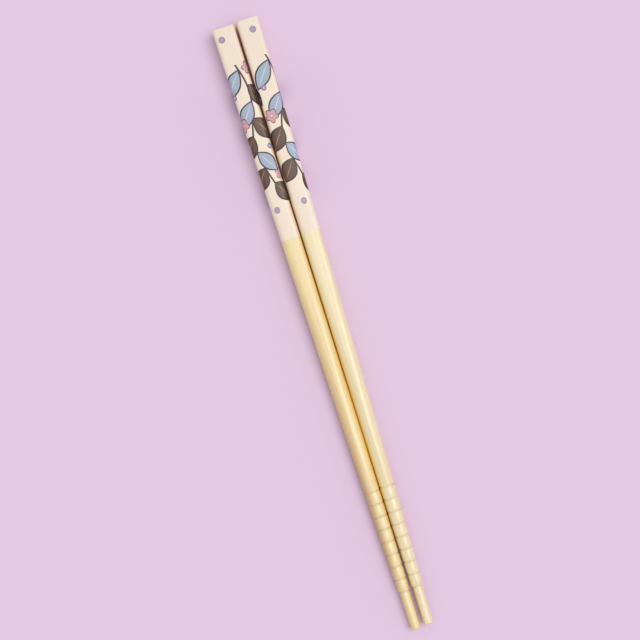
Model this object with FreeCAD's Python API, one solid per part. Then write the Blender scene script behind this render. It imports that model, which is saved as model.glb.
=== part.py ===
import FreeCAD, Part
import math
import os

# A pair of bamboo chopsticks, lying side by side on a table as they come to rest.
# Sizes are in millimetres. +X runs from the handle ends to the tips, +Y is to the right
# as seen from above with the tips nearest, and +Z is up. The origin is on the table,
# under the middle of the pair.

# One stick, by distance from its handle end
length = 240.0
grip_length = 84.0
round_start = 150.0

# The square part: how wide it is at the handle end, and its rounded corners
handle_side = 8.7
handle_corner = 1.3
grip_corner = 1.9
handle_edge_rounding = 0.45

# The round part, whose taper steepens from groove to groove, so that it bows out a little
round_diameter = 6.75
last_groove_diameter = 4.5
bow = 0.16

# The ring grooves that keep food from slipping, counted back from the plain tip
tip_length = 15.0
groove_pitch = 5.0
groove_count = 9
groove_width = 1.0
groove_depth = 0.2

# The plain tip, thinner than the last ring, so that the last groove steps down to it
tip_start_diameter = 3.95
tip_diameter = 3.75
tip_rounding = 0.45

# How the two sticks lie beside each other
gap_at_handles = 0.95
gap_at_round_start = 0.08
stagger = 0.5

# Worked out from the sizes above
last_groove = length - tip_length
groove_places = [last_groove - groove_pitch * k for k in reversed(range(groove_count))]
taper_angle = math.atan((handle_side - round_diameter) / 2 / round_start)
toe_in_angle = math.atan((gap_at_handles - gap_at_round_start) / 2 / round_start)
lengthwise = FreeCAD.Vector(1, 0, 0)
sideways = FreeCAD.Vector(0, 1, 0)
upwards = FreeCAD.Vector(0, 0, 1)
handle_centre = FreeCAD.Vector(0, 0, 0)


def half_side(x):
    """Half the width across the flats, which are plane from the handle end to the round part."""
    return handle_side / 2 - x * math.tan(taper_angle)


# The square part is described at three places: distance, half width and corner radius.
# At the last of them the corners meet, so the section there is a circle.
stations = [
    (0.0, half_side(0.0), handle_corner),
    (grip_length, half_side(grip_length), grip_corner),
    (round_start, half_side(round_start), half_side(round_start)),
]


def corner_point(station, quarter, share):
    """A point on a rounded corner: share 0 is where it leaves one flat, 1 where it meets the next."""
    x, half, radius = station
    middle = math.radians(90 * quarter + 45)
    reach = (half - radius) * math.sqrt(2)
    turn = math.radians(90 * (quarter + share))
    y = reach * math.cos(middle) + radius * math.cos(turn)
    z = reach * math.sin(middle) + radius * math.sin(turn)
    return FreeCAD.Vector(x, y, z)


def corner_edge(station, quarter):
    """The arc of one rounded corner."""
    points = [corner_point(station, quarter, share) for share in (0, 0.5, 1)]
    return Part.Arc(*points).toShape()


def flat_face(quarter):
    """One plane side, which narrows to a point where the stick becomes round."""
    before = [corner_point(station, quarter - 1, 1) for station in stations]
    after = [corner_point(station, quarter, 0) for station in stations[:-1]]
    outline = before + after[::-1]
    return Part.Face(Part.makePolygon(outline + outline[:1]))


def handle_end():
    """The plane end of the handle: a square with its four corners rounded."""
    edges = []
    for quarter in range(4):
        start = corner_point(stations[0], quarter - 1, 1)
        end = corner_point(stations[0], quarter, 0)
        edges.append(Part.makeLine(start, end))
        edges.append(corner_edge(stations[0], quarter))
    return Part.Face(Part.Wire(edges))


def square_part():
    """The handle and middle of a stick: a rounded square that tapers and turns into a circle."""
    faces = [handle_end()]
    for quarter in range(4):
        faces.append(flat_face(quarter))
        for near, far in zip(stations, stations[1:]):
            edges = corner_edge(near, quarter), corner_edge(far, quarter)
            faces.append(Part.makeRuledSurface(*edges))
    return faces


def bowed_radius(x):
    """The round part's radius: a straight taper with a slight bow outwards."""
    share = (x - round_start) / (last_groove - round_start)
    straight = round_diameter * (1 - share) + last_groove_diameter * share
    return straight / 2 + bow * 4 * share * (1 - share)


def profile_point(x, radius):
    """A point of the turned profile, at a distance along the stick and from its middle."""
    return FreeCAD.Vector(x, 0, radius)


def turned_profile():
    """The outline that is turned to make the round end: straight lands, V grooves and the plain tip."""
    edges = []
    place = round_start
    start = profile_point(place, bowed_radius(place))
    for groove in groove_places:
        near = groove - groove_width / 2
        far = groove + groove_width / 2
        land_end = profile_point(near, bowed_radius(near))
        edges.append(Part.makeLine(start, land_end))
        floor_radius = bowed_radius(groove) - groove_depth
        far_radius = bowed_radius(far)
        if groove == last_groove:
            far_radius = tip_start_diameter / 2
            floor_radius = far_radius - groove_depth / 2
        groove_floor = profile_point(groove, floor_radius)
        groove_end = profile_point(far, far_radius)
        edges.append(Part.makeLine(land_end, groove_floor))
        edges.append(Part.makeLine(groove_floor, groove_end))
        place, start = far, groove_end

    tip_radius = tip_diameter / 2
    slant = tip_rounding * (1 - math.sqrt(0.5))
    round_begin = profile_point(length - tip_rounding, tip_radius)
    round_middle = profile_point(length - slant, tip_radius - slant)
    round_end = profile_point(length, tip_radius - tip_rounding)
    edges.append(Part.makeLine(start, round_begin))
    edges.append(Part.Arc(round_begin, round_middle, round_end).toShape())
    edges.append(Part.makeLine(round_end, profile_point(length, 0)))
    return edges


def round_part():
    """The round end, turned in four quarters that meet the four corners of the square part."""
    faces = []
    for edge in turned_profile():
        for quarter in range(4):
            turned = edge.copy()
            turned.rotate(handle_centre, lengthwise, 90 * quarter)
            faces.append(turned.revolve(handle_centre, lengthwise, 90))
    return faces


def whole_stick():
    """One stick along +X with its handle end at the origin, as one solid."""
    skin = Part.makeCompound(square_part() + round_part())
    skin.sewShape()
    stick = Part.makeSolid(skin.Shells[0]).removeSplitter()
    handle_edges = [edge for edge in stick.Edges if edge.BoundBox.XMax < 1e-4]
    return stick.makeFillet(handle_edge_rounding, handle_edges).Solids[0]


def laid_down(stick, side):
    """Lays a stick on one flat, beside the middle: side is 1 for the right-hand one, -1 for the left."""
    turn = taper_angle + toe_in_angle
    inner_flat = round_start * math.sin(turn) + round_diameter / 2 * math.cos(turn)
    offset = side * (inner_flat + gap_at_round_start / 2)
    lift = handle_side / 2 * math.cos(taper_angle)
    placed = stick.copy()
    placed.rotate(handle_centre, sideways, math.degrees(taper_angle))
    placed.rotate(handle_centre, upwards, -side * math.degrees(turn))
    placed.translate(FreeCAD.Vector(stagger if side < 0 else 0, offset, lift))
    return placed


stick = whole_stick()
pair = {"left_chopstick": laid_down(stick, -1), "right_chopstick": laid_down(stick, 1)}

# The origin goes under the middle of the pair.
box = Part.makeCompound(list(pair.values())).optimalBoundingBox()
to_origin = FreeCAD.Vector(-box.Center.x, -box.Center.y, 0)

os.makedirs("parts", exist_ok=True)
for name, shape in pair.items():
    shape.translate(to_origin)
    shape.exportStep(f"parts/{name}.step")
    size = shape.optimalBoundingBox()
    print(
        f"{name}: {shape.ShapeType}, valid {shape.isValid()}, {len(shape.Faces)} faces,",
        f"{shape.Volume / 1000:.2f} cm3, {size.XLength:.2f} x {size.YLength:.2f} x {size.ZLength:.2f} mm,",
        f"lowest {size.ZMin:.4f}",
    )
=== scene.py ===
# %% [markdown]
# # A pair of bamboo chopsticks
# Two tapered sticks lie side by side on a pale lilac table. Each has a square grip under cream
# enamel with a small printed branch, and a round, clear-lacquered end with nine turned grooves.
# This lesson models one stick, copies it, gives both their finishes, and photographs them from
# straight above.

# %% [markdown]
# The imported model is loaded first. It is the fixed frame: each new stick takes the place of
# one of its parts.

import math

import bmesh
import bpy
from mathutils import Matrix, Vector


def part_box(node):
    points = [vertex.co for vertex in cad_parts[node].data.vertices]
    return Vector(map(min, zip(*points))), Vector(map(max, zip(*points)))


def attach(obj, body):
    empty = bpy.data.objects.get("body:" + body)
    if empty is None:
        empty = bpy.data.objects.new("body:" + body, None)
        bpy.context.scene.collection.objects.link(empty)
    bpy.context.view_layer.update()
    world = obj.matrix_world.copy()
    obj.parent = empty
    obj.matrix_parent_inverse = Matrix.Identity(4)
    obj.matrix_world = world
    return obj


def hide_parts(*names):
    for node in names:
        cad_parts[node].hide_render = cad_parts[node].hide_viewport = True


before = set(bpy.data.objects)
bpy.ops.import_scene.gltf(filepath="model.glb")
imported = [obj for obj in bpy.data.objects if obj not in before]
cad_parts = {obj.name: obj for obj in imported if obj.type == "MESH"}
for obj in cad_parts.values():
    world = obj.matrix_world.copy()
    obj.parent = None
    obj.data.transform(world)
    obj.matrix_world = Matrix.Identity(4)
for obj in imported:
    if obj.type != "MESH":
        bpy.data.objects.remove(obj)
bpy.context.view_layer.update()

# %% [markdown]
# ## The stick's sizes
# A stick is planed square and then turned round towards its tip. Three places along it say
# almost everything: the handle end, the end of the grip, and where the round part starts.
# All lengths are in metres, so millimetres are written as a number times `mm`.

# %% Sizes of one stick
mm = 0.001
length = 240 * mm
grip_length = 84 * mm
round_start = 150 * mm

handle_side = 8.7 * mm
handle_corner = 1.3 * mm
grip_corner = 1.9 * mm
handle_edge_rounding = 0.45 * mm

round_diameter = 6.75 * mm
last_groove_diameter = 4.5 * mm
bow = 0.16 * mm
tip_start_diameter = 3.95 * mm
tip_diameter = 3.75 * mm
tip_rounding = 0.45 * mm

first_groove = 185 * mm
groove_pitch = 5 * mm
groove_count = 9
groove_reach = 0.5 * mm
groove_depth = 0.2 * mm
grooves = [first_groove + groove_pitch * k for k in range(groove_count)]
print("grooves at", [round(groove / mm) for groove in grooves], "mm")

# %% [markdown]
# The four flats are plane, so half the width falls evenly from the handle end to the round
# part. The corners widen until they meet there, which makes the section a circle.
# The round part tapers faster and faster, so it bows out by 0.16 mm beyond a straight cone.

# %% How wide the stick is at any place
taper_angle = math.atan((handle_side - round_diameter) / 2 / round_start)


def half_side(x):
    """Half the width across the flats, or the radius where the stick is round."""
    if x <= round_start:
        return handle_side / 2 - x * math.tan(taper_angle)
    share = (x - round_start) / (grooves[-1] - round_start)
    straight = round_diameter * (1 - share) + last_groove_diameter * share
    return straight / 2 + bow * 4 * share * (1 - share)


def corner_radius(x):
    """How round the corners are: from almost sharp at the handle end to a full circle."""
    if x <= grip_length:
        return handle_corner + (grip_corner - handle_corner) * x / grip_length
    if x >= round_start:
        return half_side(x)
    share = (x - grip_length) / (round_start - grip_length)
    return grip_corner + (half_side(round_start) - grip_corner) * share


for place in (0, grip_length, round_start, grooves[0], grooves[-1]):
    half, corner = half_side(place) / mm, corner_radius(place) / mm
    print(f"{place / mm:.0f} mm: half {half:.3f}, corner {corner:.3f}")

# %% [markdown]
# ## The planed part
# A planed stick could start as a cube with bevelled edges, but here the rounding changes along
# the length. So its cross-sections are drawn instead: a square plane at each of the three
# places, with its corners rounded by a vertex bevel, and then bridged like the ribs of a boat.
# Every corner gets sixteen steps, so the last section has 64 points and looks round.

# %% Draw the three cross-sections
corner_steps = 16
touching = 0.001 * mm


def add_section(x):
    """Draws the outline of the stick at one place: a square with its corners rounded."""
    side, upright = 2 * half_side(x), (0, math.pi / 2, 0)
    bpy.ops.mesh.primitive_plane_add(size=side, location=(x, 0, 0), rotation=upright)
    if bpy.context.mode == "OBJECT":
        bpy.ops.object.transform_apply(location=True, rotation=True, scale=True)
        bpy.ops.object.mode_set(mode="EDIT")
    radius = corner_radius(x)
    bpy.ops.mesh.bevel(affect="VERTICES", offset=radius, segments=corner_steps, clamp_overlap=False)
    bpy.ops.mesh.delete(type="ONLY_FACE")


bpy.ops.object.select_all(action="DESELECT")
sections = (0, grip_length, round_start)
for place in sections:
    add_section(place)
left_stick = bpy.context.object
left_stick.name = "left_stick"
print("points drawn:", len(bmesh.from_edit_mesh(left_stick.data).verts))

# %% [markdown]
# The bridges join each outline to the next. At the round end each flat shrinks to a single
# point, so the doubled points there are merged.

# %% Bridge the sections


def select_sections(*places):
    """Selects the outlines of the mesh that lie at the given places along the stick."""
    bpy.ops.mesh.select_mode(type="EDGE")
    bpy.ops.mesh.select_all(action="DESELECT")
    work = bmesh.from_edit_mesh(left_stick.data)
    for edge in work.edges:
        for place in places:
            if all(abs(point.co.x - place) < touching for point in edge.verts):
                edge.select_set(True)
    bmesh.update_edit_mesh(left_stick.data)


for near, far in zip(sections, sections[1:]):
    select_sections(near, far)
    bpy.ops.mesh.bridge_edge_loops()
bpy.ops.mesh.select_all(action="SELECT")
bpy.ops.mesh.remove_doubles(threshold=touching)
print("faces of the planed part:", len(bmesh.from_edit_mesh(left_stick.data).faces))

# %% [markdown]
# Later the surface is unrolled like a label, in six lengths. Bisecting the mesh now puts an
# edge where each length ends, and one along the middle of every flat for the label's seam.

# %% Cut it where the unrolled surface will be cut
grip_middle = grip_length / 2
planed_cut = 123 * mm
turned_cut = 162 * mm
ringed_cut = grooves[3] + groove_pitch / 2
label_cuts = [grip_middle, grip_length, planed_cut, turned_cut, ringed_cut]

cutting_planes = [((cut, 0, 0), (1, 0, 0)) for cut in (grip_middle, planed_cut)]
cutting_planes += [((0, 0, 0), (0, 1, 0)), ((0, 0, 0), (0, 0, 1))]
for point, direction in cutting_planes:
    bpy.ops.mesh.select_all(action="SELECT")
    bpy.ops.mesh.bisect(plane_co=point, plane_no=direction, threshold=touching)
print("faces after the cuts:", len(bmesh.from_edit_mesh(left_stick.data).faces))

# %% [markdown]
# ## The turned part
# The round end could be spun from a drawn profile. Because its first ring of points is already
# there, it is quicker to extrude that ring from place to place and scale it, as a lathe
# operator would turn the stick one cut after another. The grooves have soft shoulders and a
# rounded floor, 1 mm wide and 0.2 mm deep. The last one steps down to the plain tip, whose
# rim is rounded.

# %% List the cuts of the lathe
groove_steps = (-1, -0.65, -0.3, 0, 0.3, 0.65, 1)
rim_steps = 5

turning = [(turned_cut, half_side(turned_cut))]
for groove in grooves:
    at_tip = groove == grooves[-1]
    floor = half_side(groove) - groove_depth
    if at_tip:
        floor = (tip_start_diameter - groove_depth) / 2
    for step in groove_steps:
        place = groove + step * groove_reach
        land = half_side(place)
        if at_tip and step > 0:
            land = tip_start_diameter / 2
        cut = (land - floor) * (1 + math.cos(math.pi * step)) / 2
        turning.append((place, land - cut))
    if groove + groove_pitch / 2 == ringed_cut:
        turning.append((ringed_cut, half_side(ringed_cut)))

for step in range(rim_steps + 1):
    turn = math.radians(90 * step / rim_steps)
    place = length - tip_rounding * (1 - math.sin(turn))
    turning.append((place, tip_diameter / 2 - tip_rounding * (1 - math.cos(turn))))
print("rings to turn:", len(turning), "the last at", turning[-1])

# %% [markdown]
# The ring where the stick becomes round is now drawn out to each of those places in turn, and
# scaled to the radius there. One face closes the tip.

# %% Turn the round end
select_sections(round_start)
ring_place, ring_radius = round_start, half_side(round_start)
for place, radius in turning:
    move = {"value": (place - ring_place, 0, 0)}
    bpy.ops.mesh.extrude_region_move(TRANSFORM_OT_translate=move)
    scale = radius / ring_radius
    bpy.ops.transform.resize(value=(1, scale, scale), center_override=(place, 0, 0))
    ring_place, ring_radius = place, radius
bpy.ops.mesh.edge_face_add()
print("faces with the round end:", len(bmesh.from_edit_mesh(left_stick.data).faces))

# %% [markdown]
# The handle end is closed with one face, and its rim is bevelled in four steps: the real
# edge is sanded, so that it doesn't scratch and the enamel doesn't chip.

# %% Close and sand the handle end
sanding_steps = 4
sharpest_smooth_edge = math.radians(35)

select_sections(0)
bpy.ops.mesh.edge_face_add()
select_sections(0)
bpy.ops.mesh.bevel(offset=handle_edge_rounding, segments=sanding_steps, affect="EDGES")
bpy.ops.mesh.select_all(action="SELECT")
bpy.ops.mesh.remove_doubles(threshold=touching)
bpy.ops.mesh.normals_make_consistent(inside=False)
bpy.ops.object.mode_set(mode="OBJECT")
bpy.ops.object.shade_smooth_by_angle(angle=sharpest_smooth_edge)
print("stick measures", [round(size / mm, 3) for size in left_stick.dimensions], "mm")

# %% [markdown]
# ## Unrolling the surface
# The print and the grooves follow the surface, so each stick carries a map of it, named
# "unrolled". Its first number says how far round a point lies, where each side counts as wide
# as at the handle end, and its second how far along, both in millimetres. Counting sides
# instead of true distance keeps the print whole where the stick gets thinner.

# %% Measure round and along the surface


def side_length(x):
    """From the middle of one flat to the middle of the next, over the rounded corner."""
    return 2 * (half_side(x) - corner_radius(x)) + corner_radius(x) * math.pi / 2


def distance_round(point):
    """How far round the stick a point lies, from the middle of the top, to the right positive."""
    side = round(math.atan2(point.y, point.z) / (math.pi / 2))
    turn = side * math.pi / 2
    across = point.y * math.cos(turn) - point.z * math.sin(turn)
    out = point.y * math.sin(turn) + point.z * math.cos(turn)
    flat = half_side(point.x) - corner_radius(point.x)
    beyond = abs(across) - flat
    if beyond > 0:
        bend = math.atan2(beyond, out - flat)
        across = math.copysign(flat + corner_radius(point.x) * bend, across)
    return side * side_length(point.x) + across


def distance_along(point):
    """How far along a point lies, counted over the rounded rims of both ends."""
    if point.x < handle_edge_rounding:
        bend = math.asin(min(1, 1 - point.x / handle_edge_rounding))
        return handle_edge_rounding * (1 - bend)
    if point.x > length - tip_rounding:
        bend = math.asin(min(1, (point.x - length + tip_rounding) / tip_rounding))
        return length - tip_rounding + tip_rounding * bend
    return point.x


for place in (0, length):
    print(f"one side is {side_length(place) / mm:.2f} mm at {place / mm:.0f} mm")

# %% [markdown]
# A second map, "OFBake", lays the same surface flat inside a square picture, in six lengths:
# two rows of three, with the two ends in a free corner. A baked copy of the colours needs it,
# and gets 20 pixels per millimetre when the picture is 2048 pixels wide.

# %% Lay the lengths out in a square
label_ends = [0] + label_cuts + [length]
columns, rows = 3, 2
column_width, row_height = 34.5 * mm, 44 * mm
margin_across, margin_along = 0.8 * mm, 1.0 * mm
ends_across, handle_end_along, tip_end_along = 27 * mm, 10 * mm, 28 * mm
ends_squeeze = 0.9


def baked_place(point, round_distance, middle):
    """Where a point of the surface lies in the square picture. middle is the middle of its face."""
    index = max(k for k in range(columns * rows) if middle.x >= label_ends[k] - touching)
    across = margin_across + round_distance + 2 * side_length(point.x)
    along = margin_along + distance_along(point) - label_ends[index]
    at_handle, at_tip = middle.x < touching, middle.x > length - touching
    if at_handle or at_tip:
        index = columns * rows - 1
        across = ends_across + point.y * ends_squeeze
        along = (handle_end_along if at_handle else tip_end_along) + point.z
    column, row = index % columns, index // columns
    return (column + across / column_width) / columns, (row + along / row_height) / rows


print("lengths to lay out:", len(label_ends) - 1, "in", columns, "columns and", rows, "rows")

# %% [markdown]
# Both maps are written face by face. A point on the seam, along the middle of the underside,
# could be at either end of the label, so it goes to the end where its own face is.

# %% Write both maps


def unroll(stick, shift):
    """Writes both maps of a stick. shift turns its print round the stick, in millimetres."""
    mesh = stick.data
    mesh.uv_layers.remove(mesh.uv_layers[0])
    unrolled = mesh.uv_layers.new(name="unrolled")
    baked = mesh.uv_layers.new(name="OFBake")
    for face in mesh.polygons:
        for corner in face.loop_indices:
            point = mesh.vertices[mesh.loops[corner].vertex_index].co
            side = side_length(point.x)
            round_distance = distance_round(point)
            past_seam = face.center.y * round_distance < 0 and abs(round_distance) > side * 1.5
            if past_seam:
                round_distance = -round_distance
            across = round_distance / side * side_length(0)
            unrolled.uv[corner].vector = (across / mm + shift, distance_along(point) / mm)
            baked.uv[corner].vector = baked_place(point, round_distance, face.center)


# %% [markdown]
# Bamboo's fibres run along the stick, however it lies. So every point also remembers where it
# was on the straight stick, in millimetres, as "fibre_place". It counts towards the other
# stick, and for the right stick from a place 60 mm away, as that was split from another part
# of the cane. The right stick's print is turned a little, so that the two aren't quite alike.

# %% Copy the stick and write its maps
other_cane = 60
right_print_turn = -2.9


def mark_fibres(stick, start, side):
    """Keeps each point's place on the straight stick: side is 1 for the right one, -1 for the left."""
    fibre_place = stick.data.attributes.new("fibre_place", "FLOAT_VECTOR", "POINT")
    for point, kept in zip(stick.data.vertices, fibre_place.data):
        kept.vector = (point.co.x / mm, start - side * point.co.y / mm, point.co.z / mm)


right_stick = left_stick.copy()
right_stick.data = left_stick.data.copy()
right_stick.name = "right_stick"
bpy.context.collection.objects.link(right_stick)

unroll(left_stick, 0)
unroll(right_stick, right_print_turn)
mark_fibres(left_stick, 0, -1)
mark_fibres(right_stick, other_cane, 1)
print("maps:", [layer.name for layer in left_stick.data.uv_layers])

# %% [markdown]
# ## Laying the sticks down
# Each stick rests on one flat. The flat slopes, because the stick is tapered, so the stick
# is turned until the flat lies on the table, and then turned a little so that the two meet
# side by side. Its place is read from the frame and written into the mesh.

# %% Put both sticks in their places
gap_at_handles = 0.95 * mm
gap_at_round_start = 0.08 * mm
toe_in_angle = math.atan((gap_at_handles - gap_at_round_start) / 2 / round_start)


def lay_down(stick, node, side):
    """Lays a stick where the frame has it: side is 1 for the right-hand one, -1 for the left."""
    bpy.ops.object.select_all(action="DESELECT")
    stick.select_set(True)
    bpy.context.view_layer.objects.active = stick
    stick.rotation_euler = (0, taper_angle, -side * (taper_angle + toe_in_angle))
    bpy.ops.object.transform_apply(location=True, rotation=True, scale=True)
    places = [point.co for point in stick.data.vertices]
    low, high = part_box(node)
    stick.location.x = low.x - min(place.x for place in places)
    stick.location.z = low.z - min(place.z for place in places)
    if side > 0:
        stick.location.y = high.y - max(place.y for place in places)
    else:
        stick.location.y = low.y - min(place.y for place in places)
    print(stick.name, "moves by", [round(value / mm, 3) for value in stick.location])
    bpy.ops.object.transform_apply(location=True, rotation=True, scale=True)
    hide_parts(node)
    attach(stick, "root")


lay_down(left_stick, "left_chopstick", -1)
lay_down(right_stick, "right_chopstick", 1)

# %% [markdown]
# ## Finishes
# Colours are written as they look on a screen, in hexadecimal, and Blender works in linear
# light, so one function converts them. Another adds a node, with its own settings and
# with a value or a link for each socket. Every finish below is built with these two.

# %% Two helpers for materials


def colour(hexadecimal):
    """A screen colour such as "F4E9D6" as linear red, green, blue and alpha."""
    screen = [int(hexadecimal[k:k + 2], 16) / 255 for k in (0, 2, 4)]
    linear = [v / 12.92 if v <= 0.04045 else ((v + 0.055) / 1.055) ** 2.4 for v in screen]
    return (*linear, 1.0)


def add_node(tree, kind, sockets=None, **settings):
    """Adds a node. sockets gives a value or another node's output for each input to set."""
    added = tree.nodes.new(kind)
    for name, value in settings.items():
        setattr(added, name, value)
    for name, value in (sockets or {}).items():
        if isinstance(value, bpy.types.NodeSocket):
            tree.links.new(value, added.inputs[name])
        else:
            added.inputs[name].default_value = value
    return added


print("middle grey in linear light:", round(colour("808080")[0], 3))

# %% [markdown]
# ### Lacquered bamboo
# Bamboo is a grass: a straw-coloured ground with fine straight fibres, and tiny darker
# dashes where the turning cut through a bundle of them. Noise stretched along the stick draws
# the fibres, 0.4 mm wide and 60 mm long, and a broader noise varies the ground. The left stick
# was split from the golden outer part of the cane and the right one from its paler inside.

# %% Bamboo's ground
bamboo = bpy.data.materials.new("clear_lacquered_bamboo")
bamboo.use_nodes = True
wood = bamboo.node_tree
wood.nodes.clear()

wood_place = add_node(wood, "ShaderNodeAttribute", attribute_name="fibre_place").outputs["Vector"]
cane_place = add_node(wood, "ShaderNodeSeparateXYZ", {"Vector": wood_place})


def along_fibres(width, run):
    """Coordinates in which a noise cell is as wide and as long as given, in millimetres."""
    sockets = {"Vector": wood_place, "Scale": (1 / run, 1 / width, 1 / width)}
    return add_node(wood, "ShaderNodeMapping", sockets).outputs["Vector"]


fine = add_node(
    wood, "ShaderNodeTexNoise",
    {"Vector": along_fibres(width=0.42, run=60), "Scale": 1, "Detail": 4, "Roughness": 0.6},
)
broad = add_node(
    wood, "ShaderNodeTexNoise",
    {"Vector": along_fibres(width=4.5, run=90), "Scale": 1, "Detail": 2},
)
golden = add_node(
    wood, "ShaderNodeMix",
    {0: broad.outputs["Fac"], 6: colour("EBD297"), 7: colour("F4E1AD")}, data_type="RGBA",
)
pale = add_node(
    wood, "ShaderNodeMix",
    {0: broad.outputs["Fac"], 6: colour("EEDDB1"), 7: colour("F5EAC8")}, data_type="RGBA",
)
inwards = add_node(
    wood, "ShaderNodeMapRange",
    {"Value": cane_place.outputs["Y"], "From Min": -5, "From Max": other_cane + 5},
)
ground = add_node(
    wood, "ShaderNodeMix",
    {0: inwards.outputs["Result"], 6: golden.outputs[2], 7: pale.outputs[2]}, data_type="RGBA",
)
print("bamboo nodes so far:", len(wood.nodes))

# %% [markdown]
# Seven thin layers of colour go over that ground, one after another. Each is kept in a list
# with the share of it that shows at a point, and all are laid on at the end. The first makes
# the turned part slightly paler than the planed part.

# %% Bamboo's paler turned part
layers = []
turned_share = add_node(
    wood, "ShaderNodeMapRange",
    {"Value": cane_place.outputs["X"], "From Min": round_start / mm, "From Max": 200, "To Max": 0.08},
)
layers.append((turned_share.outputs["Result"], colour("FBF5DF")))
print("layers so far:", len(layers))

# %% [markdown]
# The next layers are painted shade and bounce light that depend on the side, so they need to know how
# far round the stick a point lies.
# That is an angle, measured from the top, and in the lower half from the underside, which is
# like the top.

# %% How far round the stick a point lies


def angle_from_top(tree, place):
    """The angle from a stick's top, or its underside below, positive towards the other stick."""
    parts = add_node(tree, "ShaderNodeSeparateXYZ", {"Vector": place})
    wrap = {0: parts.outputs["Y"], 1: other_cane / 2, 2: -other_cane / 2}
    across = add_node(tree, "ShaderNodeMath", wrap, operation="WRAP")
    height = add_node(tree, "ShaderNodeMath", {0: parts.outputs["Z"]}, operation="ABSOLUTE")
    sockets = {0: across.outputs[0], 1: height.outputs[0]}
    return add_node(tree, "ShaderNodeMath", sockets, operation="ARCTAN2").outputs[0]


from_top = angle_from_top(wood, wood_place)
print("bamboo nodes so far:", len(wood.nodes))

# %% [markdown]
# The left stick's side away from the right one, turned from the lamp, gets a deep golden
# painted shade. It is weak near the grip, and a colour ramp says how strong it is at each place
# along the stick.

# %% Bamboo's painted shade on the side away from the lamp
# Painted shade: a deep golden darkening of the left stick's side turned away from the lamp.
painted_shade_side = add_node(
    wood, "ShaderNodeMapRange",
    {"Value": from_top, "From Min": -0.15, "From Max": -1.0, "To Max": 0.9},
)
painted_shade_along = add_node(
    wood, "ShaderNodeMapRange",
    {"Value": cane_place.outputs["X"], "From Min": 80, "From Max": length / mm},
)
painted_shade_ramp = add_node(wood, "ShaderNodeValToRGB", {"Fac": painted_shade_along.outputs["Result"]})
painted_shade_stops = painted_shade_ramp.color_ramp.elements
painted_shade_stops[0].position, painted_shade_stops[0].color = 0.1, (0.15, 0.15, 0.15, 1)
painted_shade_stops[1].position, painted_shade_stops[1].color = 0.95, (0.5, 0.5, 0.5, 1)
for position, share in ((0.4, 0.5), (0.65, 1), (0.8, 1)):
    painted_shade_stops.new(position).color = (share, share, share, 1)

left_only = add_node(
    wood, "ShaderNodeMath", {0: 1, 1: inwards.outputs["Result"]}, operation="SUBTRACT",
)
left_painted_shade = add_node(
    wood, "ShaderNodeMath",
    {0: painted_shade_ramp.outputs["Color"], 1: left_only.outputs[0]}, operation="MULTIPLY",
)
painted_shade_share = add_node(
    wood, "ShaderNodeMath",
    {0: painted_shade_side.outputs["Result"], 1: left_painted_shade.outputs[0]}, operation="MULTIPLY",
)
layers.append((painted_shade_share.outputs[0], colour("C49142")))
print("steps in the outer side's ramp:", len(painted_shade_stops))

# %% [markdown]
# The sides that face each other get a golden painted bounce light, as if light bounced between
# the sticks, less so at the tips. The cut end at the tip is one plain colour, with the fibres as dots.

# %% Bamboo's painted bounce light between the sticks, and its cut end
# Painted bounce light: a bright golden tint on the sides that face the other stick, in the seam.
painted_bounce_side = add_node(
    wood, "ShaderNodeMapRange", {"Value": from_top, "From Min": 0.65, "From Max": 1.15},
)
painted_bounce_along = add_node(
    wood, "ShaderNodeMapRange",
    {
        "Value": cane_place.outputs["X"],
        "From Min": first_groove / mm, "From Max": 215, "To Min": 1, "To Max": 0.5,
    },
)
painted_bounce_share = add_node(
    wood, "ShaderNodeMath",
    {0: painted_bounce_side.outputs["Result"], 1: painted_bounce_along.outputs["Result"]}, operation="MULTIPLY",
)
layers.append((painted_bounce_share.outputs[0], colour("F8CC58")))

end_share = add_node(
    wood, "ShaderNodeMapRange",
    {
        "Value": cane_place.outputs["X"],
        "From Min": length / mm - 0.3, "From Max": length / mm - 0.05,
    },
)
layers.append((end_share.outputs["Result"], colour("EBD4A0")))
print("layers so far:", len(layers))

# %% [markdown]
# The fibres are darker where the fine noise is high. The dashes are the middles of Voronoi
# cells, each about 0.75 mm wide and 9 mm long.

# %% Bamboo's fibres and dashes
fibre_share = add_node(
    wood, "ShaderNodeMapRange",
    {"Value": fine.outputs["Fac"], "From Min": 0.42, "From Max": 0.7, "To Max": 0.42},
)
layers.append((fibre_share.outputs["Result"], colour("DDBE80")))

dashes = add_node(
    wood, "ShaderNodeTexVoronoi",
    {"Vector": along_fibres(width=0.75, run=9), "Scale": 1, "Randomness": 1},
)
dash_share = add_node(
    wood, "ShaderNodeMapRange",
    {"Value": dashes.outputs["Distance"], "From Min": 0.1, "From Max": 0.2, "To Min": 0.2, "To Max": 0},
)
layers.append((dash_share.outputs["Result"], colour("BE9A58")))
print("layers so far:", len(layers))

# %% [markdown]
# Lacquer collects in the grooves and the turned fibres there are short, so each groove has a
# faint olive tint besides its own shadow. The pattern is a ping-pong of the distance along: it
# is 0 in the middle of a groove and rises to 2.5 mm halfway to the next.

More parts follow.
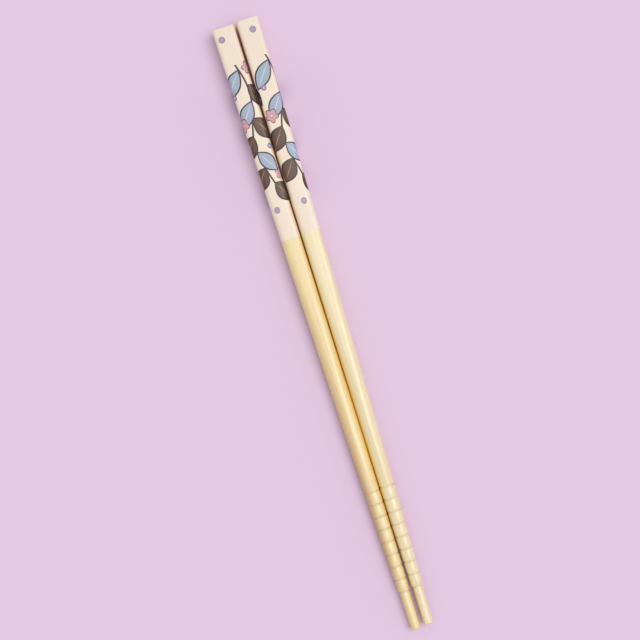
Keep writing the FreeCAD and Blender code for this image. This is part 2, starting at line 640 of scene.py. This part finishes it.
# %% The grooves' darker rings
half_pitch = groove_pitch / 2 / mm
to_middle_groove = (grooves[-1] - first_groove) / 2 / mm
unrolled_map = add_node(wood, "ShaderNodeUVMap", uv_map="unrolled")
along = add_node(wood, "ShaderNodeSeparateXYZ", {"Vector": unrolled_map.outputs["UV"]})
from_first = add_node(
    wood, "ShaderNodeMath", {0: along.outputs["Y"], 1: first_groove / mm}, operation="SUBTRACT",
)
from_groove = add_node(
    wood, "ShaderNodeMath", {0: from_first.outputs[0], 1: half_pitch}, operation="PINGPONG",
)
grooved_part = add_node(
    wood, "ShaderNodeMath",
    {0: from_first.outputs[0], 1: to_middle_groove, 2: to_middle_groove + half_pitch},
    operation="COMPARE",
)
in_groove = add_node(
    wood, "ShaderNodeMapRange",
    {"Value": from_groove.outputs[0], "From Min": 0.25, "From Max": 0.75, "To Min": 0.14, "To Max": 0},
)
ring_share = add_node(
    wood, "ShaderNodeMath", {0: in_groove.outputs[0], 1: grooved_part.outputs[0]}, operation="MULTIPLY",
)
layers.append((ring_share.outputs[0], colour("9C8636")))
print("the rings run", round(2 * (to_middle_groove + half_pitch), 1), "mm along the stick")

# %% [markdown]
# Each layer is now laid over the one before, by a Mix node with the layer's share.

# %% Lay on the layers
for share, over in layers:
    ground = add_node(
        wood, "ShaderNodeMix", {0: share, 6: ground.outputs[2], 7: over}, data_type="RGBA",
    )
print("layers laid on:", len(layers))

# %% [markdown]
# The clear lacquer is the shader's coat: satin, with an index of refraction of 1.55, and not
# quite flat, because it follows the fibres and pulls into long, shallow waves. The bump is
# about a hundredth of a millimetre deep. A little light enters the bamboo and leaves it again
# up to 2 mm away.

# %% Bamboo's lacquer
waves = add_node(
    wood, "ShaderNodeTexNoise",
    {"Vector": along_fibres(width=1.6, run=7), "Scale": 1, "Detail": 1},
)
relief = add_node(
    wood, "ShaderNodeMath",
    {0: fine.outputs["Fac"], 1: 0.35, 2: waves.outputs["Fac"]}, operation="MULTIPLY_ADD",
)
lacquer_relief = 0.012 * mm
bump = add_node(
    wood, "ShaderNodeBump",
    {"Height": relief.outputs[0], "Distance": lacquer_relief, "Strength": 1.0},
)
gloss = add_node(
    wood, "ShaderNodeMapRange", {"Value": fine.outputs["Fac"], "To Min": 0.36, "To Max": 0.52},
)
surface = add_node(
    wood, "ShaderNodeBsdfPrincipled",
    {
        "Base Color": ground.outputs[2],
        "Roughness": gloss.outputs["Result"],
        "Normal": bump.outputs["Normal"],
        "Coat Normal": bump.outputs["Normal"],
        "Subsurface Weight": 0.35,
        "Subsurface Radius": (1.0, 0.55, 0.2),
        "Subsurface Scale": 2 * mm,
        "Coat Weight": 1.0,
        "Coat Roughness": 0.25,
        "Coat IOR": 1.55,
    },
)
add_node(wood, "ShaderNodeOutputMaterial", {"Surface": surface.outputs[0]})
print("bamboo nodes:", len(wood.nodes))

# %% [markdown]
# ### Printed enamel on the grip
# The grip is dipped in cream enamel and printed under a clear film. The print is a flowering
# branch in dusty blue, dark brown, pink and mauve. It is drawn on the unrolled map with
# shapes only: each motif has a number that is 0 at its middle and 1 at its edge, and a colour
# ramp with sharp steps fills it. The branch with its leaves fills half the girth, and is
# printed twice. Where the two grips face each other, a warmer, darker cream is painted on as
# shade of the seam between them.

# %% The enamel and the print's coordinates
enamel = bpy.data.materials.new("printed_cream_enamel")
enamel.use_nodes = True
grip = enamel.node_tree
grip.nodes.clear()

grip_map = add_node(grip, "ShaderNodeUVMap", uv_map="unrolled")
grip_parts = add_node(grip, "ShaderNodeSeparateXYZ", {"Vector": grip_map.outputs["UV"]})
tile_reach = side_length(0) / mm
wrapped = add_node(
    grip, "ShaderNodeMath",
    {0: grip_parts.outputs["X"], 1: tile_reach, 2: -tile_reach}, operation="WRAP",
)

grip_place = add_node(grip, "ShaderNodeAttribute", attribute_name="fibre_place").outputs["Vector"]
mottle_place = add_node(
    grip, "ShaderNodeMapping", {"Vector": grip_place, "Scale": (1 / 14, 1 / 5, 1 / 5)},
)
mottle = add_node(
    grip, "ShaderNodeTexNoise", {"Vector": mottle_place.outputs[0], "Scale": 1, "Detail": 2},
)
cream = add_node(
    grip, "ShaderNodeMix",
    {0: mottle.outputs["Fac"], 6: colour("EDDAC4"), 7: colour("F3E5D5")}, data_type="RGBA",
)
# Painted shade: a warmer, darker cream where the two grips face each other, standing in for the seam's
# shade.
past_rim = add_node(
    grip, "ShaderNodeMapRange",
    {"Value": grip_parts.outputs["Y"], "From Max": handle_edge_rounding / mm},
)
painted_seam_shade = add_node(
    grip, "ShaderNodeMapRange",
    {
        "Value": angle_from_top(grip, grip_place),
        "From Min": 0.65, "From Max": 1.05, "To Max": past_rim.outputs["Result"],
    },
)
cream = add_node(
    grip, "ShaderNodeMix",
    {0: painted_seam_shade.outputs["Result"], 6: cream.outputs[2], 7: colour("F2C88C")}, data_type="RGBA",
)
print("the print repeats every", round(2 * tile_reach, 2), "mm round the grip")

# %% [markdown]
# The ramp that prints a motif has a colour for each step from its middle to its edge. At the
# edge the ramp turns clear, so that what is under the motif shows.

# %% Print any motif


def print_motif(under, shape, steps):
    """Prints a motif over what is under it. steps are its colours, each with where it starts."""
    ramp = add_node(grip, "ShaderNodeValToRGB", {"Fac": shape})
    ramp.color_ramp.interpolation = "CONSTANT"
    stops = ramp.color_ramp.elements
    stops[0].position, stops[0].color = 0, colour(steps[0][1])
    stops[1].position, stops[1].color = 1, (0, 0, 0, 0)
    for start, hexadecimal in steps[1:]:
        stops.new(start).color = colour(hexadecimal)
    sockets = {0: ramp.outputs["Alpha"], 6: under, 7: ramp.outputs["Color"]}
    return add_node(grip, "ShaderNodeMix", sockets, data_type="RGBA").outputs[2]


# %% [markdown]
# The branch sways from side to side on its way down the grip, and everything else grows from
# it. Its number is the distance from its middle line, counted in halves of its width, and
# beyond its two ends a number far above 1. All the print's lengths are in millimetres.

# %% Print the branch
branch_start, branch_end = 15, 68
branch_half_width = 0.38
sway, sway_length = 2.3, 44
turn_per_mm = 2 * math.pi / sway_length
far_outside = 9

sway_turn = add_node(
    grip, "ShaderNodeMath",
    {0: grip_parts.outputs["Y"], 1: turn_per_mm, 2: -turn_per_mm * branch_start},
    operation="MULTIPLY_ADD",
)
sway_wave = add_node(grip, "ShaderNodeMath", {0: sway_turn.outputs[0]}, operation="SINE")
sway_place = add_node(
    grip, "ShaderNodeMath",
    {0: sway_wave.outputs[0], 1: -sway, 2: wrapped.outputs[0]}, operation="MULTIPLY_ADD",
)
off_branch = add_node(grip, "ShaderNodeMath", {0: sway_place.outputs[0]}, operation="ABSOLUTE")
beside_branch = add_node(
    grip, "ShaderNodeMath", {0: off_branch.outputs[0], 1: branch_half_width}, operation="DIVIDE",
)
branch_middle, branch_half = (branch_start + branch_end) / 2, (branch_end - branch_start) / 2
on_length = add_node(
    grip, "ShaderNodeMath",
    {0: grip_parts.outputs["Y"], 1: branch_middle, 2: branch_half}, operation="COMPARE",
)
past_end = add_node(grip, "ShaderNodeMath", {0: 1, 1: on_length.outputs[0]}, operation="SUBTRACT")
branch_shape = add_node(
    grip, "ShaderNodeMath",
    {0: past_end.outputs[0], 1: far_outside, 2: beside_branch.outputs[0]}, operation="MULTIPLY_ADD",
)
printed = print_motif(cream.outputs[2], branch_shape.outputs[0], [(0, "3F261C")])
print("the branch is", branch_end - branch_start, "mm long")

# %% [markdown]
# Every other motif is placed by a Mapping node of the texture kind, which moves, turns and
# scales the coordinates so that the motif spans from -1 to 1. They are wrapped about the
# motif's own middle first, so that no motif is cut where the print starts again. The middle is
# given by how far along the grip it is, and how far to the side of the branch.

# %% Place a motif
never_wrapped = 100


def branch_across(along_grip):
    """How far to the side the branch is, at a distance along the grip."""
    return sway * math.sin(turn_per_mm * (along_grip - branch_start))


def motif_place(centre, turn, half_length, half_width):
    """Coordinates from -1 to 1 over a motif, with its middle, turn and size in millimetres."""
    wrap = {
        0: grip_map.outputs["UV"],
        1: (centre[0] + tile_reach, never_wrapped, 1),
        2: (centre[0] - tile_reach, -never_wrapped, -1),
    }
    nearest = add_node(grip, "ShaderNodeVectorMath", wrap, operation="WRAP")
    sockets = {
        "Vector": nearest.outputs[0],
        "Location": (*centre, 0), "Rotation": (0, 0, turn), "Scale": (half_length, half_width, 1),
    }
    return add_node(grip, "ShaderNodeMapping", sockets, vector_type="TEXTURE").outputs[0]


print("the branch ends", round(branch_across(branch_end), 1), "mm to the side")

# %% [markdown]
# A leaf is where the distance across plus the square of the distance along is below 1, which
# gives it two pointed ends. The leaves grow from the branch in turn to the left and the right,
# three of them dusty blue and five dark brown. Each leans outwards from its place on the
# branch, is a little shorter than the one before, and has a dark outline and a pale vein.

# %% Print the leaves


def leaf_shape(place):
    """0 along a leaf's middle and 1 at its edge."""
    parts = add_node(grip, "ShaderNodeSeparateXYZ", {"Vector": place})
    across = add_node(grip, "ShaderNodeMath", {0: parts.outputs["Y"]}, operation="ABSOLUTE")
    squared = {0: parts.outputs["X"], 1: parts.outputs["X"], 2: across.outputs[0]}
    return add_node(grip, "ShaderNodeMath", squared, operation="MULTIPLY_ADD").outputs[0]


dusty_blue, dark_brown = "9FACC2", "5C3C29"
vein_colours = {dusty_blue: "C6CCD8", dark_brown: "927867"}
half_widths = {dusty_blue: 3.1, dark_brown: 3.6}
leaf_fills = (
    dusty_blue, dark_brown, dusty_blue, dark_brown,
    dark_brown, dusty_blue, dark_brown, dark_brown,
)
leaf_pitch, leaf_lean = 6.4, 36
first_half_length, shorter_each = 6.4, 0.2
vein_share, vein_half_width = 0.75, 0.24

for k, fill in enumerate(leaf_fills):
    foot = branch_start + 2 + leaf_pitch * k
    side = 1 if k % 2 else -1
    turn = math.radians(90 - side * leaf_lean)
    half_length = first_half_length - shorter_each * k
    centre = (
        branch_across(foot) + math.cos(turn) * half_length,
        foot + math.sin(turn) * half_length,
    )
    leaf = leaf_shape(motif_place(centre, turn, half_length, half_widths[fill]))
    printed = print_motif(printed, leaf, [(0, fill), (0.8, "2E1A14")])
    vein = leaf_shape(motif_place(centre, turn, half_length * vein_share, vein_half_width))
    printed = print_motif(printed, vein, [(0, vein_colours[fill])])
print("leaves:", len(leaf_fills))

# %% [markdown]
# A blossom is a disc whose edge swings in and out five times on the way round, once for each
# petal. It has a pale middle, a dark ring round it and a dark edge. Three are laid over the
# leaves.

# %% Print the blossoms
petals = 5
petal_depth = 0.34


def round_shape(place):
    """0 at the middle of a round motif and 1 at its edge."""
    return add_node(grip, "ShaderNodeVectorMath", {0: place}, operation="LENGTH").outputs["Value"]


def blossom_shape(place):
    """0 at a blossom's middle and 1 at the edge of its five petals."""
    parts = add_node(grip, "ShaderNodeSeparateXYZ", {"Vector": place})
    direction = {0: parts.outputs["Y"], 1: parts.outputs["X"]}
    turn = add_node(grip, "ShaderNodeMath", direction, operation="ARCTAN2")
    half_turns = {0: turn.outputs[0], 1: petals / 2}
    swing = add_node(grip, "ShaderNodeMath", half_turns, operation="MULTIPLY")
    wave = add_node(grip, "ShaderNodeMath", {0: swing.outputs[0]}, operation="COSINE")
    petal = add_node(grip, "ShaderNodeMath", {0: wave.outputs[0]}, operation="ABSOLUTE")
    depth = {0: petal.outputs[0], 1: petal_depth, 2: 1 - petal_depth}
    reach = add_node(grip, "ShaderNodeMath", depth, operation="MULTIPLY_ADD")
    share = {0: round_shape(place), 1: reach.outputs[0]}
    return add_node(grip, "ShaderNodeMath", share, operation="DIVIDE").outputs[0]


blossoms = ((17, 4.0, 2.7), (38, -4.2, 2.9), (59, 4.6, 2.5))
blossom_steps = [(0, "F2E2B8"), (0.18, "AA6274"), (0.27, "D39CA7"), (0.86, "6B3A46")]
for foot, across, size in blossoms:
    blossom = blossom_shape(motif_place((branch_across(foot) + across, foot), foot, size, size))
    printed = print_motif(printed, blossom, blossom_steps)
print("blossoms:", len(blossoms))

# %% [markdown]
# A few berries fill the gaps, and a plain mauve spot closes the print at each end.

# %% Print the berries and the spots
berry_size = 1.1
berry_steps = [(0, "C9B9CD"), (0.35, "A993B0"), (0.75, "74607C")]
for foot, across in ((31, 6.4), (27, -6.6), (48, 6.0), (51, -6.4)):
    centre = (branch_across(foot) + across, foot)
    berry = round_shape(motif_place(centre, 0, berry_size, berry_size))
    printed = print_motif(printed, berry, berry_steps)

spot_across, spot_size = -1.8, 1.3
for foot in (4.6, 72.2):
    spot = round_shape(motif_place((spot_across, foot), 0, spot_size, spot_size))
    printed = print_motif(printed, spot, [(0, "AD99B1"), (0.6, "A08BA6")])
print("print nodes:", len(grip.nodes))

# %% [markdown]
# The dried enamel is smooth to the touch but softly wavy, and faintly shows the wood's grain.
# It is less glossy than the lacquer.

# %% The enamel's surface
grain_place = add_node(
    grip, "ShaderNodeMapping", {"Vector": grip_place, "Scale": (1 / 30, 1 / 0.5, 1 / 0.5)},
)
grain = add_node(
    grip, "ShaderNodeTexNoise", {"Vector": grain_place.outputs[0], "Scale": 1, "Detail": 2},
)
swell = add_node(
    grip, "ShaderNodeTexNoise", {"Vector": grip_place, "Scale": 1 / 1.4, "Detail": 1},
)
enamel_height = add_node(
    grip, "ShaderNodeMath",
    {0: grain.outputs["Fac"], 1: 0.3, 2: swell.outputs["Fac"]}, operation="MULTIPLY_ADD",
)
enamel_relief = 0.012 * mm
enamel_bump = add_node(
    grip, "ShaderNodeBump", {"Height": enamel_height.outputs[0], "Distance": enamel_relief},
)
enamel_gloss = add_node(
    grip, "ShaderNodeMapRange", {"Value": mottle.outputs["Fac"], "To Min": 0.34, "To Max": 0.48},
)
enamel_surface = add_node(
    grip, "ShaderNodeBsdfPrincipled",
    {
        "Base Color": printed,
        "Roughness": enamel_gloss.outputs["Result"],
        "Normal": enamel_bump.outputs["Normal"],
        "Coat Normal": enamel_bump.outputs["Normal"],
        "Coat Weight": 0.4,
        "Coat Roughness": 0.2,
        "Coat IOR": 1.5,
    },
)
add_node(grip, "ShaderNodeOutputMaterial", {"Surface": enamel_surface.outputs[0]})
print("enamel nodes:", len(grip.nodes))

# %% [markdown]
# The enamel ends at a straight, masked edge 84 mm from the handle end, where the mesh has an
# outline. So each face gets its finish by its place on the unrolled map.

# %% Give every face its finish
for stick in (left_stick, right_stick):
    stick.data.materials.append(bamboo)
    stick.data.materials.append(enamel)
    along_map = stick.data.uv_layers["unrolled"].uv
    for face in stick.data.polygons:
        places = [along_map[corner].vector.y for corner in face.loop_indices]
        face.material_index = 1 if sum(places) / len(places) < grip_length / mm else 0
    enamelled = sum(face.material_index for face in stick.data.polygons)
    print(stick.name, "has", enamelled, "enamelled faces of", len(stick.data.polygons))

# %% [markdown]
# ## The table, the light and the camera
# The table is one large plane of matt paper in a plain pale lilac, a cool colour that sets off
# the warm bamboo. Matt paper shows the sticks' soft shadow and no glare of the lamp.

# %% Build the table
lilac = colour("E3CAE3")
table_width = 60

bpy.ops.object.select_all(action="DESELECT")
bpy.ops.mesh.primitive_plane_add(size=table_width, location=(0, 0, 0))
table = bpy.context.object
table.name = "table"
paper = bpy.data.materials.new("plain_lilac_paper")
paper.use_nodes = True
paper_surface = paper.node_tree.nodes["Principled BSDF"]
paper_surface.inputs["Base Color"].default_value = lilac
paper_surface.inputs["Roughness"].default_value = 0.9
paper_surface.inputs["Specular IOR Level"].default_value = 0.1
table.data.materials.append(paper)
print("the table is", table_width, "m wide")

# %% [markdown]
# The camera looks straight down from 0.62 m, the distance at which the grooves near the tips
# curve as much as in the photograph. It is turned so that the handles are at the upper left.
# The lens follows from how wide the view is at the sticks' distance.

# %% Set up the camera
picture_turn = math.radians(72.69)
picture_middle = (-3.03 * mm, -2.58 * mm)
camera_height = 0.6245
sticks_distance = 0.6191
view_width = 0.2432

camera_data = bpy.data.cameras.new("camera")
camera_data.sensor_width = 36
camera_data.lens = camera_data.sensor_width * sticks_distance / view_width
camera = bpy.data.objects.new("camera", camera_data)
camera.location = (*picture_middle, camera_height)
camera.rotation_euler = (0, 0, picture_turn)
bpy.context.collection.objects.link(camera)
bpy.context.scene.camera = camera
print("the lens has a focal length of", round(camera_data.lens, 1), "mm")

# %% [markdown]
# A broad lamp, high up and a little to the right of the sticks, gives the soft streak along
# each of them, and an even sky fills in the shadows. Together they light a level white surface
# to exactly white, so colours come out as they are written.

# %% Hang the lamp
lamp_tilt = math.radians(22)
lamp_width = math.radians(42)
lamp_share = 0.38

picture_right = Vector((math.cos(picture_turn), math.sin(picture_turn), 0))
picture_up = Vector((-math.sin(picture_turn), math.cos(picture_turn), 0))
lamp_side = (picture_right * 0.95 + picture_up * 0.3).normalized()
lamp_way = lamp_side * math.sin(lamp_tilt) + Vector((0, 0, math.cos(lamp_tilt)))

lamp_data = bpy.data.lights.new("key_lamp", "SUN")
lamp_data.angle = lamp_width
lamp_data.energy = lamp_share * math.pi / math.cos(lamp_tilt)
lamp = bpy.data.objects.new("key_lamp", lamp_data)
lamp.location = lamp_way
lamp.rotation_euler = lamp_way.to_track_quat("Z", "Y").to_euler()
bpy.context.collection.objects.link(lamp)
print("the lamp gives", round(lamp_data.energy, 2), "watts per square metre")

# %% [markdown]
# The world lights the rest evenly with white. Only the camera sees it in the table's lilac, so
# that the horizon hardly shows from the side.

# %% Fill in the sky
world = bpy.data.worlds.new("world")
bpy.context.scene.world = world
world.use_nodes = True
sky = world.node_tree
sky.nodes.clear()
ray = add_node(sky, "ShaderNodeLightPath")
fill = add_node(sky, "ShaderNodeBackground", {"Color": (1, 1, 1, 1), "Strength": 1 - lamp_share})
seen = add_node(sky, "ShaderNodeBackground", {"Color": lilac, "Strength": 1})
shown = add_node(
    sky, "ShaderNodeMixShader",
    {0: ray.outputs["Is Camera Ray"], 1: fill.outputs[0], 2: seen.outputs[0]},
)
add_node(sky, "ShaderNodeOutputWorld", {"Surface": shown.outputs[0]})
bpy.context.scene.view_settings.view_transform = "Standard"
print("the sky gives", round(1 - lamp_share, 2), "of the light")
